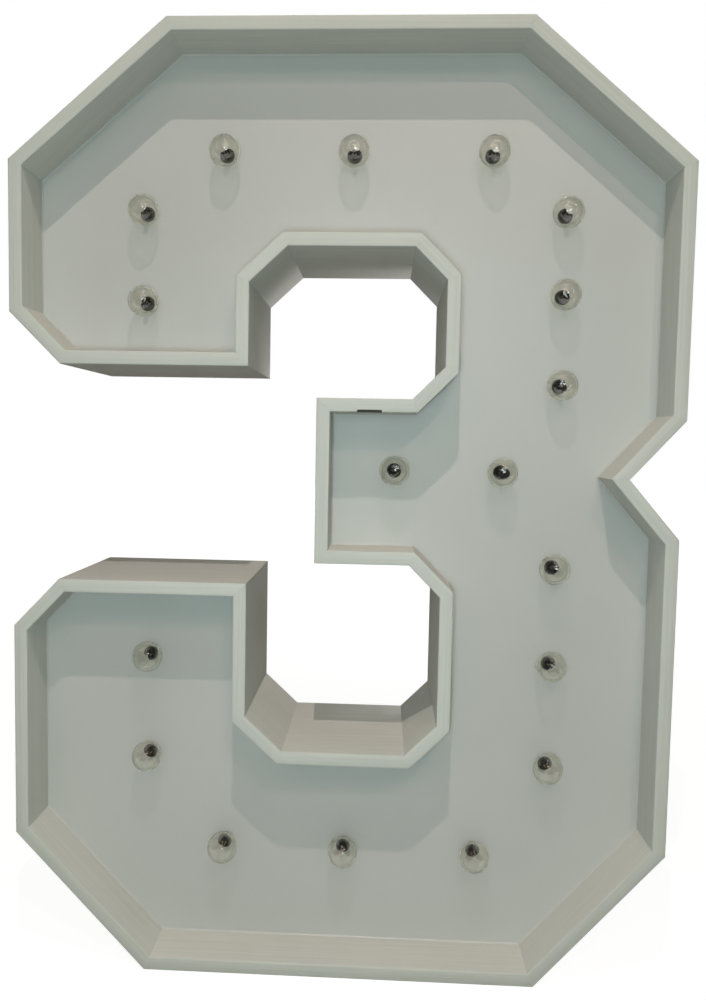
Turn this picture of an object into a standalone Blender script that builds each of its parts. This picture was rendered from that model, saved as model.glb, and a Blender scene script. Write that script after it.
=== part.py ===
"""A light up marquee number three: mitred boards round a set-back panel of clear globe lamps.

Metres, +Z up. The number faces -Y and stands on its bottom board, with the origin under the middle of it.
The outline is described from its left edge and from the ground, as seen from the front.
"""

import math

import bmesh
import bpy
from mathutils import Vector

# Whole number
number_width = 0.850
number_height = 1.220
number_depth = 0.200

# Sides of the outline, as shares of the width from the left edge
arm_side_share = 0.3594
middle_arm_end_share = 0.4612
stem_side_share = 0.6494

# Levels of the outline, as shares of the height from the ground
bottom_bar_top_share = 0.2471
lower_arm_top_share = 0.4258
middle_arm_underside_share = 0.4488
waist_share = 0.5422
middle_arm_top_share = 0.6205
upper_arm_underside_share = 0.6516
ceiling_share = 0.7738

# Cut corners of the outline, the waist and the slight inset of the lower half
top_cut_width = 0.200
top_cut_height = 0.1715
upper_tip_cut = 0.065
lower_side_inset = 0.003
foot_cut_height = 0.181
left_foot_cut_width = 0.171
right_foot_cut_width = 0.162
lower_tip_cut_width = 0.059
lower_tip_cut_height = 0.062
waist_dent_depth = 0.0665
waist_dent_reach = 0.074
left_notch_cut_width = 0.048
left_notch_cut_height = 0.0445
right_notch_cut = 0.040

# Boards
board_thickness = 0.017
mitre_gap = 0.0003
seat_gap = 0.0003
groove_depth = 0.008
rebate_width = 0.009
cover_recess = 0.012

# Lamp panel
panel_recess = 0.0635
panel_thickness = 0.006

# Lamp places: columns at the sides of both bowls and three rows, as shares of the width and of the height
upper_left_column_share = 0.1888
lower_left_column_share = 0.1953
upper_right_column_share = 0.8296
lower_right_column_share = 0.8272
top_row_height_share = 0.8791
middle_row_height_share = 0.5455
bottom_row_height_share = 0.1230
top_row_shares = (0.3126, 0.5084, 0.7178)
middle_row_shares = (0.7439, 0.5789)
bottom_row_shares = (0.7171, 0.5093, 0.3171)
upper_left_column_shares = (0.7220, 0.8172)
upper_right_column_shares = (0.8176, 0.7330, 0.6387)
lower_right_column_shares = (0.4435, 0.3377, 0.2253)
lower_left_column_shares = (0.2243, 0.3361)

# Globe lamps
globe_diameter = 0.040
globe_wall = 0.0008
globe_clearance = 0.002
neck_diameter = 0.0118
neck_wall = 0.0009
cap_length = 0.0188
cap_shoulder = 0.003
contact_diameter = 0.0044
vent_diameter = 0.0018
lamp_sides = 12
globe_bands = 6
hollow_bands = 4

# Sockets, measured from the mouth towards the back
socket_diameter = 0.019
socket_bore_gap = 0.0003
socket_proud = 0.002
collar_diameter = 0.026
collar_thickness = 0.0025
barrel_diameter = 0.0195
barrel_length = 0.026
tail_diameter = 0.015
socket_length = 0.040
panel_hole_gap = 0.0003

# Wiring
cable_diameter = 0.006
cable_from_tail_end = 0.006
cable_slack_back = 0.004
cable_slack_drop = 0.006
cable_point_spacing = 0.025
cable_straight = 0.012
cable_approach = 0.030
cable_approach_rise = 0.001
cable_approach_drop = 0.012
cable_end_inside = 0.004

# Rear cover and its screws
cover_thickness = 0.006
cover_edge_gap = 0.0005
cover_screw_hole = 0.0034
pilot_hole = 0.0022
pilot_depth = 0.025
screw_pitch = 0.260
shortest_screwed_board = 0.080
screw_hole_sides = 8

# Inlet plate
inlet_left = 0.352
inlet_height = 0.085
plate_side_margin = 0.012
plate_end_margin = 0.017
plate_thickness = 0.0015
plate_screw_inset = 0.006
plate_screw_hole = 0.0034

# Inlet moulding
flange_side_lip = 0.002
flange_end_lip = 0.003
flange_thickness = 0.0025
moulding_side_wall = 0.0104
moulding_end_wall = 0.0033
moulding_floor = 0.0065
plate_opening_gap = 0.0003
cover_opening_gap = 0.001

# Connector recess in the inlet moulding
recess_width = 0.0245
recess_height = 0.017
recess_depth = 0.017
recess_corner_cut = 0.0045
pin_width = 0.002
pin_height = 0.004
pin_spread = 0.007
pin_offset = 0.002
pin_set_back = 0.002
terminal_length = 0.008

# Switch
switch_web = 0.0048
rocker_end_gap = 0.0016
rocker_side_gap = 0.0003
rocker_room_below = 0.0025
rocker_length = 0.022
rocker_width = 0.0128
rocker_tilt = 12.0
rocker_pivot_depth = 0.004
rocker_bulge = 0.0003
rocker_side_height = 0.002
rocker_base_half = 0.009
rocker_base_drop = 0.003
rocker_foot_half = 0.004
rocker_foot_drop = 0.006
trunnion_diameter = 0.0026
trunnion_length = 0.001
trunnion_gap = 0.0003
trunnion_sides = 12

# Fuse drawer
drawer_web = 0.0067
drawer_length = 0.019
drawer_gap = 0.0003
drawer_end_room = 0.001
drawer_end_wall = 0.0019
drawer_floor = 0.0028
drawer_lip = 0.001
drawer_lip_thickness = 0.0014
drawer_notch_width = 0.006
drawer_notch_depth = 0.0012
fuse_diameter = 0.0052
fuse_length = 0.020
fuse_cap_length = 0.005
fuse_cap_thickness = 0.0003
fuse_trough_gap = 0.0003
fuse_top_gap = 0.0007
fuse_sides = 12

# Terminal cover
terminal_side_room = 0.005
terminal_end_room = 0.008
terminal_depth = 0.038
terminal_wall = 0.002
terminal_flange = 0.0025
cable_hole_gap = 0.0006
cable_hole_spread = 0.014
cable_hole_rise = 0.015

# How far every cutting shape runs past the face it cuts
overrun = 0.002
merge_distance = 0.00001

# Sizes of the inlet, from what lies inside it outwards
switch_bay_length = rocker_length + 2 * rocker_end_gap
switch_bay_width = rocker_width + 2 * rocker_side_gap
switch_bay_depth = rocker_pivot_depth + rocker_foot_drop + rocker_room_below
switch_height = recess_height / 2 + switch_web + switch_bay_width / 2
fuse_trough_depth = fuse_diameter + fuse_trough_gap + fuse_top_gap
drawer_bay_width = fuse_length + 2 * (fuse_trough_gap + drawer_end_wall + drawer_gap)
drawer_bay_height = fuse_trough_depth + drawer_floor + 2 * drawer_gap
drawer_bay_depth = drawer_length + drawer_end_room
drawer_drop = recess_height / 2 + drawer_web + drawer_bay_height / 2
moulding_width = switch_bay_length + 2 * moulding_side_wall
moulding_height = recess_height + 2 * (switch_web + switch_bay_width + moulding_end_wall)
moulding_depth = drawer_bay_depth + moulding_floor - flange_thickness
flange_width = moulding_width + 2 * flange_side_lip
flange_height = moulding_height + 2 * flange_end_lip
plate_width = flange_width + 2 * plate_side_margin
plate_height = flange_height + 2 * plate_end_margin
terminal_width = moulding_width + 2 * (terminal_side_room + terminal_wall)
terminal_height = moulding_height + 2 * (terminal_end_room + terminal_wall)
globe_stand_off = globe_diameter / 2 + globe_clearance

# Levels from front to back
front = -number_depth / 2
rear = number_depth / 2
panel_front = front + panel_recess
panel_back = panel_front + panel_thickness
socket_mouth = panel_front - socket_proud
cable_level = socket_mouth + socket_length - cable_from_tail_end
cover_back = rear - cover_recess
cover_front = cover_back - cover_thickness
plate_front = cover_back + seat_gap
plate_back = plate_front + plate_thickness
flange_front = plate_back + seat_gap
flange_back = flange_front + flange_thickness
moulding_front = flange_front - moulding_depth
terminal_back = cover_front - seat_gap
terminal_front = terminal_back - terminal_depth

# Places across the number
left = -number_width / 2
inlet_x = left + inlet_left


def clear_scene():
    for item in list(bpy.data.objects):
        bpy.data.objects.remove(item, do_unlink=True)


def make_material(name, colour, roughness, metallic=0.0, clear=0.0):
    material = bpy.data.materials.new(name)
    material.use_nodes = True
    shader = material.node_tree.nodes["Principled BSDF"]
    shader.inputs["Base Color"].default_value = (*colour, 1.0)
    shader.inputs["Roughness"].default_value = roughness
    shader.inputs["Metallic"].default_value = metallic
    shader.inputs["Transmission Weight"].default_value = clear
    material.diffuse_color = (*colour, 1.0)
    return material


def make_object(name, mesh, material=None):
    item = bpy.data.objects.new(name, mesh)
    bpy.context.collection.objects.link(item)
    if material is not None and not mesh.materials:
        mesh.materials.append(material)
    return item


def finish_mesh(name, bm):
    mesh = bpy.data.meshes.new(name)
    bmesh.ops.recalc_face_normals(bm, faces=bm.faces)
    bm.to_mesh(mesh)
    bm.free()
    return mesh


def hide_tool(item):
    item.hide_render = True
    item.display_type = "WIRE"
    return item


def join_or_cut(item, tool, operation):
    modifier = item.modifiers.new(tool.name, "BOOLEAN")
    modifier.operation = operation
    modifier.solver = "EXACT"
    modifier.object = tool


def add_rings(bm, first_ring, second_ring):
    """A closed solid between two rings of points."""
    first = [bm.verts.new(point) for point in first_ring]
    second = [bm.verts.new(point) for point in second_ring]
    bm.faces.new(first)
    bm.faces.new(reversed(second))
    for index in range(len(first)):
        after = (index + 1) % len(first)
        bm.faces.new((first[after], first[index], second[index], second[after]))


def ring_solids(name, ring_pairs):
    bm = bmesh.new()
    for first_ring, second_ring in ring_pairs:
        add_rings(bm, first_ring, second_ring)
    return finish_mesh(name, bm)


def flat_ring(points, y):
    return [(x, y, z) for x, z in points]


def sheet_mesh(name, points, y_front, y_back):
    """A flat sheet whose outline is given in x and z."""
    return ring_solids(name, [(flat_ring(points, y_front), flat_ring(points, y_back))])


def rectangle(x, z, width, height):
    half_width = width / 2
    half_height = height / 2
    return [
        (x - half_width, z - half_height),
        (x - half_width, z + half_height),
        (x + half_width, z + half_height),
        (x + half_width, z - half_height),
    ]


def circle(x, z, diameter, sides):
    angles = [2 * math.pi * index / sides for index in range(sides)]
    return [(x + diameter / 2 * math.cos(angle), z + diameter / 2 * math.sin(angle)) for angle in angles]


def block_mesh(name, x, z, width, height, y_front, y_back):
    return sheet_mesh(name, rectangle(x, z, width, height), y_front, y_back)


def round_cutter(name, centres, diameter, sides, y_front, y_back):
    """One cutting shape of several cylinders that run from front to back."""
    circles = [circle(x, z, diameter, sides) for x, z in centres]
    pairs = [(flat_ring(points, y_front), flat_ring(points, y_back)) for points in circles]
    return hide_tool(make_object(name, ring_solids(name, pairs)))


def block_cutter(name, *sizes):
    return hide_tool(make_object(name, block_mesh(name, *sizes)))


def turned_mesh(name, profile, sides, axis=(0, 1, 0)):
    """A profile of radius and distance along the axis, spun once round it. Both ends lie on the axis."""
    bm = bmesh.new()
    along_y = axis == (0, 1, 0)
    places = [(radius, along, 0) if along_y else (along, radius, 0) for radius, along in profile]
    verts = [bm.verts.new(place) for place in places]
    edges = [bm.edges.new(pair) for pair in zip(verts, verts[1:])]
    bmesh.ops.spin(bm, geom=verts + edges, cent=(0, 0, 0), axis=axis, angle=2 * math.pi, steps=sides)
    bmesh.ops.remove_doubles(bm, verts=bm.verts, dist=merge_distance)
    return finish_mesh(name, bm)


def shade_round(mesh, degrees=40):
    mesh.shade_smooth()
    mesh.set_sharp_from_angle(angle=math.radians(degrees))


def outline_boards():
    """Each board's name with the corner where it starts, clockwise from the upper left side."""
    arm_side = number_width * arm_side_share
    middle_arm_end = number_width * middle_arm_end_share
    stem_side = number_width * stem_side_share
    right_foot = number_width - lower_side_inset
    bottom_bar_top = number_height * bottom_bar_top_share
    lower_arm_top = number_height * lower_arm_top_share
    middle_arm_underside = number_height * middle_arm_underside_share
    waist = number_height * waist_share
    middle_arm_top = number_height * middle_arm_top_share
    upper_arm_underside = number_height * upper_arm_underside_share
    ceiling = number_height * ceiling_share
    places = [
        ("board_upper_left_corner", 0, number_height - top_cut_height),
        ("board_top", top_cut_width, number_height),
        ("board_upper_right_corner", number_width - top_cut_width, number_height),
        ("board_upper_right_side", number_width, number_height - top_cut_height),
        ("board_waist_upper", number_width, waist + waist_dent_reach),
        ("board_waist_lower", number_width - waist_dent_depth, waist),
        ("board_lower_right_side", right_foot, waist - waist_dent_reach),
        ("board_lower_right_corner", right_foot, foot_cut_height),
        ("board_bottom", right_foot - right_foot_cut_width, 0),
        ("board_lower_left_corner", lower_side_inset + left_foot_cut_width, 0),
        ("board_lower_left_side", lower_side_inset, foot_cut_height),
        ("board_lower_arm_tip", lower_side_inset, lower_arm_top - lower_tip_cut_height),
        ("board_lower_arm_top", lower_side_inset + lower_tip_cut_width, lower_arm_top),
        ("board_lower_notch_side", arm_side, lower_arm_top),
        ("board_lower_notch_left_corner", arm_side, bottom_bar_top + left_notch_cut_height),
        ("board_lower_notch_floor", arm_side + left_notch_cut_width, bottom_bar_top),
        ("board_lower_notch_right_corner", stem_side - right_notch_cut, bottom_bar_top),
        ("board_lower_notch_stem", stem_side, bottom_bar_top + right_notch_cut),
        ("board_middle_arm_lower_corner", stem_side, middle_arm_underside - right_notch_cut),
        ("board_middle_arm_underside", stem_side - right_notch_cut, middle_arm_underside),
        ("board_middle_arm_end", middle_arm_end, middle_arm_underside),
        ("board_middle_arm_top", middle_arm_end, middle_arm_top),
        ("board_middle_arm_upper_corner", stem_side - right_notch_cut, middle_arm_top),
        ("board_upper_notch_stem", stem_side, middle_arm_top + right_notch_cut),
        ("board_upper_notch_right_corner", stem_side, ceiling - right_notch_cut),
        ("board_upper_notch_ceiling", stem_side - right_notch_cut, ceiling),
        ("board_upper_notch_left_corner", arm_side + left_notch_cut_width, ceiling),
        ("board_upper_notch_side", arm_side, ceiling - left_notch_cut_height),
        ("board_upper_arm_underside", arm_side, upper_arm_underside),
        ("board_upper_arm_tip", upper_tip_cut, upper_arm_underside),
        ("board_upper_left_side", 0, upper_arm_underside + upper_tip_cut),
    ]
    return [(name, Vector((left + x, z))) for name, x, z in places]


def inward(direction):
    """The way into the number from an edge, for corners that run clockwise."""
    return Vector((direction.y, -direction.x))


def edge_directions(corners):
    count = len(corners)
    return [(corners[(index + 1) % count] - corners[index]).normalized() for index in range(count)]


def inset_outline(corners, distance):
    """The outline moved into the number by a distance, with its corners kept sharp."""
    directions = edge_directions(corners)
    moved = []
    for index, corner in enumerate(corners):
        before = inward(directions[index - 1])
        after = inward(directions[index])
        moved.append(corner + distance * (before + after) / (1 + before.dot(after)))
    return moved


def board_profile():
    """The board's section as pairs of distance into the number and place from front to back."""
    groove_bottom = board_thickness - groove_depth
    rebate_bottom = board_thickness - rebate_width
    return [
        (0, front),
        (0, rear),
        (rebate_bottom, rear),
        (rebate_bottom, cover_front - seat_gap),
        (board_thickness, cover_front - seat_gap),
        (board_thickness, panel_back + seat_gap),
        (groove_bottom, panel_back + seat_gap),
        (groove_bottom, panel_front - seat_gap),
        (board_thickness, panel_front - seat_gap),
        (board_thickness, front),
    ]


def mitre_pull_back(direction, neighbour):
    """How far an end moves along its board to leave half of the glue gap at the mitre."""
    half_turn = direction.angle(neighbour) / 2
    return mitre_gap / 2 / math.cos(half_turn)


def add_boards(boards, material):
    """The 31 mitred boards, each grooved for the lamp panel and rebated for the rear cover."""
    corners = [corner for name, corner in boards]
    directions = edge_directions(corners)
    profile = board_profile()
    rails = [inset_outline(corners, distance) for distance, y in profile]
    items = []
    for index, (name, corner) in enumerate(boards):
        after = (index + 1) % len(boards)
        direction = directions[index]
        start_shift = direction * mitre_pull_back(direction, directions[index - 1])
        end_shift = direction * mitre_pull_back(direction, directions[after])
        start_ring = []
        end_ring = []
        for rail, (distance, y) in zip(rails, profile):
            start = rail[index] + start_shift
            end = rail[after] - end_shift
            start_ring.append((start.x, y, start.y))
            end_ring.append((end.x, y, end.y))
        items.append(make_object(name, ring_solids(name, [(start_ring, end_ring)]), material))
    return items


def cover_screw_places(boards):
    """Screw places along the middle of the shoulder that the rear cover rests on."""
    corners = [corner for name, corner in boards]
    shoulder = inset_outline(corners, board_thickness - rebate_width / 2)
    places = []
    for index, start in enumerate(shoulder):
        end = shoulder[(index + 1) % len(shoulder)]
        length = (end - start).length
        if length < shortest_screwed_board:
            continue
        count = max(1, round(length / screw_pitch))
        for number in range(count):
            places.append(start.lerp(end, (number + 0.5) / count))
    return [(place.x, place.y) for place in places]


def lamp_places():
    """The places of the lamps in x and z, along the stroke of the number from the upper arm down."""
    shares = [(upper_left_column_share, share) for share in upper_left_column_shares]
    shares += [(share, top_row_height_share) for share in top_row_shares]
    shares += [(upper_right_column_share, share) for share in upper_right_column_shares]
    shares += [(share, middle_row_height_share) for share in middle_row_shares]
    shares += [(lower_right_column_share, share) for share in lower_right_column_shares]
    shares += [(share, bottom_row_height_share) for share in bottom_row_shares]
    shares += [(lower_left_column_share, share) for share in lower_left_column_shares]
    return [(left + across * number_width, up * number_height) for across, up in shares]


def lamp_profile():
    """The section of one lamp's hollow glass and its cap, as radius and y from the socket mouth.

    It runs down the hollow, out through the vent in the cap's contact, and up the outside.
    """
    neck = neck_diameter / 2
    globe = globe_diameter / 2
    hollow = globe - globe_wall
    neck_hollow = neck - neck_wall
    vent = vent_diameter / 2
    hollow_start = math.asin(neck_hollow / hollow)
    globe_start = math.asin(neck / globe)
    profile = [(0, -globe_stand_off - hollow)]
    for band in reversed(range(hollow_bands)):
        angle = hollow_start + (math.pi - hollow_start) * band / hollow_bands
        profile.append((hollow * math.sin(angle), hollow * math.cos(angle) - globe_stand_off))
    profile.append((neck_hollow, cap_length - cap_shoulder - neck_wall))
    profile.append((vent, cap_length - 2 * neck_wall))
    profile.append((vent, cap_length))
    profile.append((contact_diameter / 2, cap_length))
    profile.append((neck, cap_length - cap_shoulder))
    for band in range(globe_bands):
        angle = globe_start + (math.pi - globe_start) * band / globe_bands
        profile.append((globe * math.sin(angle), globe * math.cos(angle) - globe_stand_off))
    profile.append((0, -globe_stand_off - globe))
    return profile


def add_lamps(places, material):
    """The lamps share one mesh, and each has its origin in the mouth of its socket."""
    mesh = turned_mesh("globe_lamp", lamp_profile(), lamp_sides)
    shade_round(mesh)
    for index, (x, z) in enumerate(places):
        lamp = make_object(f"bulb_{index + 1:02d}", mesh, material)
        lamp.location = (x, socket_mouth, z)


def socket_profile():
    """The section of one socket, from the bottom of its bore round the mouth to the tail, as radius and y."""
    bore = neck_diameter / 2 + socket_bore_gap
    bore_depth = cap_length + socket_bore_gap
    collar_front = socket_proud + panel_thickness + seat_gap
    collar_back = collar_front + collar_thickness
    return [
        (0, bore_depth),
        (bore, bore_depth),
        (bore, 0),
        (socket_diameter / 2, 0),
        (socket_diameter / 2, collar_front),
        (collar_diameter / 2, collar_front),
        (collar_diameter / 2, collar_back),
        (barrel_diameter / 2, collar_back),
        (barrel_diameter / 2, barrel_length),
        (tail_diameter / 2, socket_length),
        (0, socket_length),
    ]


def smooth_route(points):
    """Evenly spaced points on a smooth curve through the points of a route."""
    points = [Vector(point) for point in points]
    ends = [2 * points[0] - points[1]] + points + [2 * points[-1] - points[-2]]
    route = []
    for index in range(1, len(ends) - 2):
        before, start, end, after = ends[index - 1:index + 3]
        steps = max(2, round((end - start).length / cable_point_spacing))
        for step in range(steps):
            t = step / steps
            slope_start = (end - before) / 2
            slope_end = (after - start) / 2
            route.append(
                (2 * t**3 - 3 * t**2 + 1) * start
                + (t**3 - 2 * t**2 + t) * slope_start
                + (3 * t**2 - 2 * t**3) * end
                + (t**3 - t**2) * slope_end
            )
    route.append(points[-1])
    return route


def cable_tool(name, points):
    """A round cable along a route, as a closed mesh that is joined to the sockets."""
    curve = bpy.data.curves.new(name, "CURVE")
    curve.dimensions = "3D"
    curve.bevel_depth = cable_diameter / 2
    curve.bevel_resolution = 1
    curve.render_resolution_u = 0
    curve.use_fill_caps = True
    spline = curve.splines.new("POLY")
    route = smooth_route(points)
    spline.points.add(len(route) - 1)
    for spline_point, place in zip(spline.points, route):
        spline_point.co = (*place, 1)
    guide = make_object(name + "_guide", curve, None)
    bpy.context.view_layer.update()
    mesh = bpy.data.meshes.new_from_object(guide.evaluated_get(bpy.context.evaluated_depsgraph_get()))
    bpy.data.objects.remove(guide, do_unlink=True)
    bm = bmesh.new()
    bm.from_mesh(mesh)
    bmesh.ops.remove_doubles(bm, verts=bm.verts, dist=merge_distance)
    return hide_tool(make_object(name, finish_mesh(name, bm)))


def harness_route(places, side):
    """From inside the terminal cover, through the tail of each socket, with a little slack in between."""
    start_x = inlet_x + side * cable_hole_spread
    start_z = inlet_height + cable_hole_rise
    first_x, first_z = places[0]
    inside = terminal_front + terminal_wall + cable_end_inside
    route = [
        (start_x, inside, start_z),
        (start_x, terminal_front - cable_straight / 2, start_z),
        (start_x, terminal_front - cable_straight, start_z),
        (first_x - side * cable_approach, cable_level + cable_approach_rise, first_z - cable_approach_drop),
    ]
    for index, (x, z) in enumerate(places):
        if index > 0:
            last_x, last_z = places[index - 1]
            middle_x = (x + last_x) / 2
            middle_z = (z + last_z) / 2
            route.append((middle_x, cable_level + cable_slack_back, middle_z - cable_slack_drop))
        route.append((x, cable_level, z))
    return route


def add_harness(name, places, side, material):
    """Sockets on one run of cable, as one moulded piece."""
    socket = turned_mesh("socket", socket_profile(), lamp_sides)
    bm = bmesh.new()
    for x, z in places:
        known = len(bm.verts)
        bm.from_mesh(socket)
        bm.verts.ensure_lookup_table()
        bmesh.ops.translate(bm, verts=bm.verts[known:], vec=(x, socket_mouth, z))
    mesh = finish_mesh(name, bm)
    item = make_object(name, mesh, material)
    join_or_cut(item, cable_tool(name + "_cable", harness_route(places, side)), "UNION")
    shade_round(mesh)
    return item


def add_lamp_panel(corners, places, material):
    """The painted sheet that carries the sockets, held in the grooves of the boards."""
    edge = inset_outline(corners, board_thickness - groove_depth + seat_gap)
    panel = make_object("lamp_panel", sheet_mesh("lamp_panel", edge, panel_front, panel_back), material)
    hole = socket_diameter + 2 * panel_hole_gap
    levels = (panel_front - overrun, panel_back + overrun)
    join_or_cut(panel, round_cutter("lamp_holes", places, hole, lamp_sides, *levels), "DIFFERENCE")


def plate_screw_places():
    across = plate_width / 2 - plate_screw_inset
    up = plate_height / 2 - plate_screw_inset
    return [(inlet_x + sx * across, inlet_height + sz * up) for sx in (-1, 1) for sz in (-1, 1)]


def add_rear_cover(boards, board_items, material):
    """The sheet in the rebate at the back, with its screw holes and the opening for the inlet."""
    corners = [corner for name, corner in boards]
    edge = inset_outline(corners, board_thickness - rebate_width + cover_edge_gap)
    cover = make_object("rear_cover", sheet_mesh("rear_cover", edge, cover_front, cover_back), material)
    screws = cover_screw_places(boards)
    levels = (cover_front - overrun, cover_back + overrun)
    holes = round_cutter("cover_holes", screws, cover_screw_hole, screw_hole_sides, *levels)
    join_or_cut(cover, holes, "DIFFERENCE")
    fixings = round_cutter("fixing_holes", plate_screw_places(), plate_screw_hole, screw_hole_sides, *levels)
    join_or_cut(cover, fixings, "DIFFERENCE")
    opening_size = (moulding_width + 2 * cover_opening_gap, moulding_height + 2 * cover_opening_gap)
    opening = block_cutter("cover_opening", inlet_x, inlet_height, *opening_size, *levels)
    join_or_cut(cover, opening, "DIFFERENCE")
    shoulder = cover_front - seat_gap
    pilot_levels = (shoulder - pilot_depth, shoulder + overrun)
    pilots = round_cutter("pilot_holes", screws, pilot_hole, screw_hole_sides, *pilot_levels)
    for item in board_items:
        join_or_cut(item, pilots, "DIFFERENCE")


def add_inlet_plate(material):
    """The metal plate that carries the inlet on the outside of the rear cover."""
    plate_size = (plate_width, plate_height)
    mesh = block_mesh("inlet_plate", inlet_x, inlet_height, *plate_size, plate_front, plate_back)
    plate = make_object("inlet_plate", mesh, material)
    levels = (plate_front - overrun, plate_back + overrun)
    opening_size = (moulding_width + 2 * plate_opening_gap, moulding_height + 2 * plate_opening_gap)
    opening = block_cutter("plate_opening", inlet_x, inlet_height, *opening_size, *levels)
    join_or_cut(plate, opening, "DIFFERENCE")
    holes = round_cutter("plate_holes", plate_screw_places(), plate_screw_hole, screw_hole_sides, *levels)
    join_or_cut(plate, holes, "DIFFERENCE")


def recess_outline():
    """The connector recess, with its two upper corners cut."""
    half = recess_width / 2
    low = inlet_height - recess_height / 2
    high = inlet_height + recess_height / 2
    return [
        (inlet_x - half, low),
        (inlet_x - half, high - recess_corner_cut),
        (inlet_x - half + recess_corner_cut, high),
        (inlet_x + half - recess_corner_cut, high),
        (inlet_x + half, high - recess_corner_cut),
        (inlet_x + half, low),
    ]


def trunnion_mesh(name, x, y, z, diameter, length):
    """A short round bar that stands upright, on the axis of the rocker."""
    half = length / 2
    places = circle(x, y, diameter, trunnion_sides)
    low = [(px, py, z - half) for px, py in places]
    high = [(px, py, z + half) for px, py in places]
    return ring_solids(name, [(low, high)])


def rocker_pivot():
    return Vector((inlet_x, flange_back - rocker_pivot_depth, inlet_height + switch_height))


def add_inlet(material):
    """The moulding with the connector recess, the switch bay and the fuse drawer bay."""
    flange_size = (flange_width, flange_height)
    flange = block_mesh("inlet", inlet_x, inlet_height, *flange_size, flange_front, flange_back)
    inlet = make_object("inlet", flange, material)
    block_levels = (moulding_front, flange_front + flange_thickness / 2)
    block = block_cutter("inlet_block", inlet_x, inlet_height, moulding_width, moulding_height, *block_levels)
    join_or_cut(inlet, block, "UNION")
    recess = recess_outline()
    switch_bay = rectangle(inlet_x, inlet_height + switch_height, switch_bay_length, switch_bay_width)
    drawer_bay = rectangle(inlet_x, inlet_height - drawer_drop, drawer_bay_width, drawer_bay_height)
    bays = [(recess, recess_depth), (switch_bay, switch_bay_depth), (drawer_bay, drawer_bay_depth)]
    outside = flange_back + overrun
    pairs = [(flat_ring(points, flange_back - depth), flat_ring(points, outside)) for points, depth in bays]
    join_or_cut(inlet, hide_tool(make_object("inlet_bays", ring_solids("inlet_bays", pairs))), "DIFFERENCE")
    bearing = trunnion_diameter + 2 * trunnion_gap
    bearing_length = switch_bay_width + 2 * (trunnion_length + trunnion_gap)
    bearings = trunnion_mesh("bearing_holes", *rocker_pivot(), bearing, bearing_length)
    join_or_cut(inlet, hide_tool(make_object("bearing_holes", bearings)), "DIFFERENCE")
    pin_places = [(-pin_spread, -pin_offset), (0, pin_offset), (pin_spread, -pin_offset)]
    pin_levels = (moulding_front - terminal_length, flange_back - pin_set_back)
    pins = []
    for x, z in pin_places:
        points = rectangle(inlet_x + x, inlet_height + z, pin_width, pin_height)
        pins.append(tuple(flat_ring(points, y) for y in pin_levels))
    join_or_cut(inlet, hide_tool(make_object("inlet_pins", ring_solids("inlet_pins", pins))), "UNION")


def rocker_section():
    """Half of the rocker's section beside its pivot, from the middle of its top to its foot, as x and y."""
    half = rocker_length / 2
    rise = half * math.tan(math.radians(rocker_tilt))
    return [
        (half, rocker_pivot_depth + rise),
        (half + rocker_bulge, rocker_side_height),
        (rocker_base_half, -rocker_base_drop),
        (rocker_foot_half, -rocker_foot_drop),
    ]


def add_rocker(material):
    """The rocker, pressed at its right end, turns about the upright pivot of its trunnions."""
    right = rocker_section()
    mirrored = [(-x, y) for x, y in reversed(right)]
    section = [(0, rocker_pivot_depth)] + right + mirrored
    low = [(x, y, -rocker_width / 2) for x, y in section]
    high = [(x, y, rocker_width / 2) for x, y in section]
    rocker = make_object("switch_rocker", ring_solids("switch_rocker", [(low, high)]), material)
    trunnions = trunnion_mesh("trunnions", 0, 0, 0, trunnion_diameter, rocker_width + 2 * trunnion_length)
    bar = hide_tool(make_object("trunnions", trunnions))
    bar.parent = rocker
    join_or_cut(rocker, bar, "UNION")
    rocker.location = rocker_pivot()
    rocker.rotation_euler = (0, 0, -math.radians(rocker_tilt))


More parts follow.
